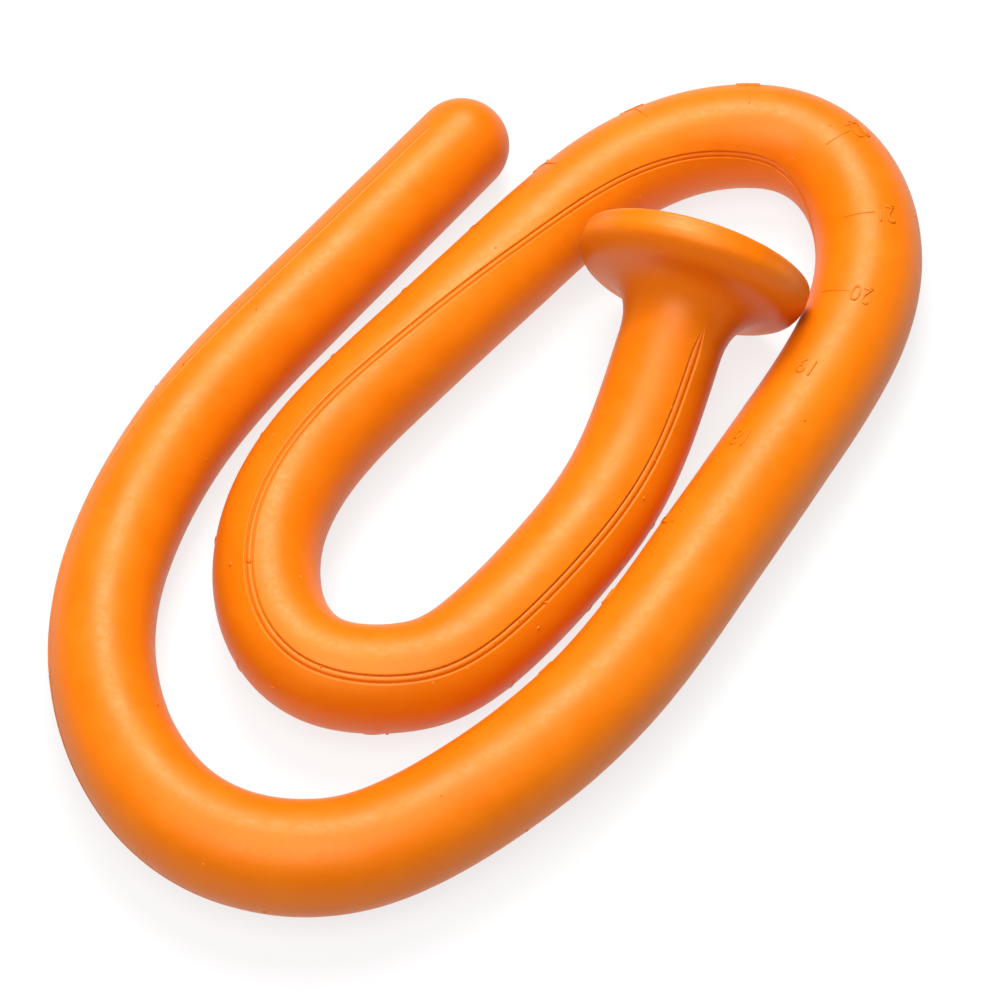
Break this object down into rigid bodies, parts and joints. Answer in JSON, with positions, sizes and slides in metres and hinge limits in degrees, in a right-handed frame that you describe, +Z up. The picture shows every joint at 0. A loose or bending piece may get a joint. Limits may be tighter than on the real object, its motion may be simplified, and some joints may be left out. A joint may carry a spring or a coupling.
{
  "type": "graduated flexible rod",
  "caption": "Long soft round rod with a domed tip, depth marks and a flared disc base, lying coiled; its turns open out and its ends flex.",
  "frame": {"origin": "centre of the bounding box at its bottom, on the surface that the rod lies on", "axes": "+Z up from the surface; +Y across the coil from the lowest outer turn towards the tip and the base; +X from the tip side towards the right run"},
  "size_m": [0.2108, 0.2328, 0.0557],
  "materials": {
    "silicone": "satin"
  },
  "bodies": {
    "right_run": {"right_run": "silicone"},
    "tip": {"tip": "silicone", "flex_tip_lift_front": "silicone"},
    "tip_link_1": {"tip_link_1": "silicone", "flex_tip_swing_front": "silicone"},
    "tip_link_2": {"tip_link_2": "silicone", "flex_tip_lift": "silicone"},
    "tip_link_3": {"tip_link_3": "silicone", "flex_tip_swing": "silicone"},
    "tip_run": {"tip_run": "silicone", "flex_outer_bend_1": "silicone"},
    "outer_link_1": {"outer_link_1": "silicone", "flex_outer_bend_2": "silicone"},
    "outer_link_2": {"outer_link_2": "silicone", "flex_outer_bend_3": "silicone"},
    "outer_link_3": {"outer_link_3": "silicone", "flex_outer_bend_4": "silicone"},
    "outer_link_4": {"outer_link_4": "silicone", "flex_outer_bend_5": "silicone"},
    "outer_link_5": {"outer_link_5": "silicone", "flex_outer_bend_6": "silicone"},
    "outer_link_6": {"outer_link_6": "silicone", "flex_outer_bend_7": "silicone"},
    "outer_link_7": {"outer_link_7": "silicone", "flex_outer_bend_8": "silicone"},
    "upper_link_1": {"upper_link_1": "silicone", "flex_upper_bend_1": "silicone"},
    "upper_link_2": {"upper_link_2": "silicone", "flex_upper_bend_2": "silicone"},
    "upper_link_3": {"upper_link_3": "silicone", "flex_upper_bend_3": "silicone"},
    "left_run": {"left_run": "silicone", "flex_upper_bend_4": "silicone"},
    "inner_link_1": {"inner_link_1": "silicone", "flex_inner_bend_1": "silicone"},
    "inner_link_2": {"inner_link_2": "silicone", "flex_inner_bend_2": "silicone"},
    "base_run": {"base_run": "silicone", "flex_inner_bend_3": "silicone"},
    "base_link": {"base_link": "silicone", "flex_base_lift": "silicone"},
    "base_end": {"neck_run": "silicone", "neck": "silicone", "base": "silicone", "flex_base_lift_end": "silicone"}
  },
  "joints": [
    {"name": "tip_lift_front", "type": "hinge", "parent": "tip_link_1", "child": "tip", "pos_m": [-0.02841, 0.07695, 0.01206], "axis": [0.788, -0.6157, 0], "range_deg": [0, 25.01], "stiffness_Nm_per_rad": 0.1, "deforming": ["flex_tip_lift_front"]},
    {"name": "tip_swing_front", "type": "hinge", "parent": "tip_link_2", "child": "tip_link_1", "pos_m": [-0.04011, 0.06198, 0.0121], "axis": [0, 0, 1], "range_deg": [0, 25.01], "stiffness_Nm_per_rad": 0.1, "deforming": ["flex_tip_swing_front"]},
    {"name": "tip_lift", "type": "hinge", "parent": "tip_link_3", "child": "tip_link_2", "pos_m": [-0.0518, 0.04701, 0.01214], "axis": [0.788, -0.6157, 0], "range_deg": [0, 25], "stiffness_Nm_per_rad": 0.1, "deforming": ["flex_tip_lift"]},
    {"name": "tip_swing", "type": "hinge", "parent": "tip_run", "child": "tip_link_3", "pos_m": [-0.0635, 0.03204, 0.01217], "axis": [0, 0, 1], "range_deg": [0, 25], "stiffness_Nm_per_rad": 0.1, "deforming": ["flex_tip_swing"]},
    {"name": "outer_bend_1", "type": "hinge", "parent": "outer_link_1", "child": "tip_run", "pos_m": [-0.07563, 0.0139, 0.01223], "axis": [0, 0, 1], "range_deg": [0, 17.01], "deforming": ["flex_outer_bend_1"]},
    {"name": "outer_bend_2", "type": "hinge", "parent": "outer_link_2", "child": "outer_link_1", "pos_m": [-0.09215, -0.02916, 0.01244], "axis": [0, 0, 1], "range_deg": [0, 24.01], "deforming": ["flex_outer_bend_2"]},
    {"name": "outer_bend_3", "type": "hinge", "parent": "outer_link_3", "child": "outer_link_2", "pos_m": [-0.09072, -0.062, 0.01266], "axis": [0, 0, 1], "range_deg": [0, 24.01], "deforming": ["flex_outer_bend_3"]},
    {"name": "outer_bend_4", "type": "hinge", "parent": "outer_link_4", "child": "outer_link_3", "pos_m": [-0.07881, -0.08615, 0.01287], "axis": [0, 0, 1], "range_deg": [0, 24.01], "deforming": ["flex_outer_bend_4"]},
    {"name": "outer_bend_5", "type": "hinge", "parent": "outer_link_5", "child": "outer_link_4", "pos_m": [-0.06333, -0.09858, 0.01308], "axis": [0, 0, 1], "range_deg": [0, 26.01], "deforming": ["flex_outer_bend_5"]},
    {"name": "outer_bend_6", "type": "hinge", "parent": "outer_link_6", "child": "outer_link_5", "pos_m": [-0.04303, -0.10321, 0.01328], "axis": [0, 0, 1], "range_deg": [0, 26.01], "deforming": ["flex_outer_bend_6"]},
    {"name": "outer_bend_7", "type": "hinge", "parent": "outer_link_7", "child": "outer_link_6", "pos_m": [-0.0208, -0.09801, 0.0133], "axis": [0, 0, 1], "range_deg": [0, 25.01], "deforming": ["flex_outer_bend_7"]},
    {"name": "outer_bend_8", "type": "hinge", "parent": "right_run", "child": "outer_link_7", "pos_m": [0.0197, -0.06514, 0.0133], "axis": [0, 0, 1], "range_deg": [0, 20.01], "deforming": ["flex_outer_bend_8"]},
    {"name": "uncoil", "type": "hinge", "parent": "right_run", "child": "upper_link_1", "pos_m": [0.08603, 0.03897, 0.0133], "axis": [0, 0, -1], "range_deg": [0, 28], "deforming": ["flex_upper_bend_1"]},
    {"name": "upper_bend_2", "type": "hinge", "parent": "upper_link_1", "child": "upper_link_2", "pos_m": [0.08837, 0.08627, 0.0133], "axis": [0, 0, -1], "range_deg": [0, 28.01], "deforming": ["flex_upper_bend_2"]},
    {"name": "upper_bend_3", "type": "hinge", "parent": "upper_link_2", "child": "upper_link_3", "pos_m": [0.06723, 0.10297, 0.0133], "axis": [0, 0, -1], "range_deg": [0, 28.01], "deforming": ["flex_upper_bend_3"]},
    {"name": "upper_bend_4", "type": "hinge", "parent": "upper_link_3", "child": "left_run", "pos_m": [0.02562, 0.08767, 0.0133], "axis": [0, 0, -1], "range_deg": [0, 28.01], "deforming": ["flex_upper_bend_4"]},
    {"name": "inner_bend_1", "type": "hinge", "parent": "left_run", "child": "inner_link_1", "pos_m": [-0.05482, -0.01827, 0.0133], "axis": [0, 0, -1], "range_deg": [0, 10.01], "deforming": ["flex_inner_bend_1"]},
    {"name": "inner_bend_2", "type": "hinge", "parent": "inner_link_1", "child": "inner_link_2", "pos_m": [-0.04653, -0.05108, 0.0133], "axis": [0, 0, -1], "range_deg": [0, 10.01], "deforming": ["flex_inner_bend_2"]},
    {"name": "inner_bend_3", "type": "hinge", "parent": "inner_link_2", "child": "base_run", "pos_m": [-0.01981, -0.05636, 0.0133], "axis": [0, 0, -1], "range_deg": [0, 10.01], "deforming": ["flex_inner_bend_3"]},
    {"name": "base_lift", "type": "hinge", "parent": "base_run", "child": "base_link", "pos_m": [0.00746, -0.03372, 0.0133], "axis": [0.7771, -0.6293, 0], "range_deg": [0, 20], "stiffness_Nm_per_rad": 0.1, "deforming": ["flex_base_lift"]},
    {"name": "base_lift_end", "type": "hinge", "parent": "base_link", "child": "base_end", "pos_m": [0.03603, 0.01668, 0.01715], "axis": [0.9483, -0.3173, 0], "range_deg": [0, 20.01], "stiffness_Nm_per_rad": 0.1, "deforming": ["flex_base_lift_end"]}
  ],
  "couplings": [
    {"joint": "tip_lift_front", "follows": "tip_lift", "ratio": 1},
    {"joint": "tip_swing_front", "follows": "tip_swing", "ratio": 1},
    {"joint": "outer_bend_1", "follows": "uncoil", "ratio": 0.60714},
    {"joint": "outer_bend_2", "follows": "uncoil", "ratio": 0.85714},
    {"joint": "outer_bend_3", "follows": "uncoil", "ratio": 0.85714},
    {"joint": "outer_bend_4", "follows": "uncoil", "ratio": 0.85714},
    {"joint": "outer_bend_5", "follows": "uncoil", "ratio": 0.92857},
    {"joint": "outer_bend_6", "follows": "uncoil", "ratio": 0.92857},
    {"joint": "outer_bend_7", "follows": "uncoil", "ratio": 0.89286},
    {"joint": "outer_bend_8", "follows": "uncoil", "ratio": 0.71429},
    {"joint": "upper_bend_2", "follows": "uncoil", "ratio": 1},
    {"joint": "upper_bend_3", "follows": "uncoil", "ratio": 1},
    {"joint": "upper_bend_4", "follows": "uncoil", "ratio": 1},
    {"joint": "inner_bend_1", "follows": "uncoil", "ratio": 0.35714},
    {"joint": "inner_bend_2", "follows": "uncoil", "ratio": 0.35714},
    {"joint": "inner_bend_3", "follows": "uncoil", "ratio": 0.35714},
    {"joint": "base_lift_end", "follows": "base_lift", "ratio": 1}
  ]
}
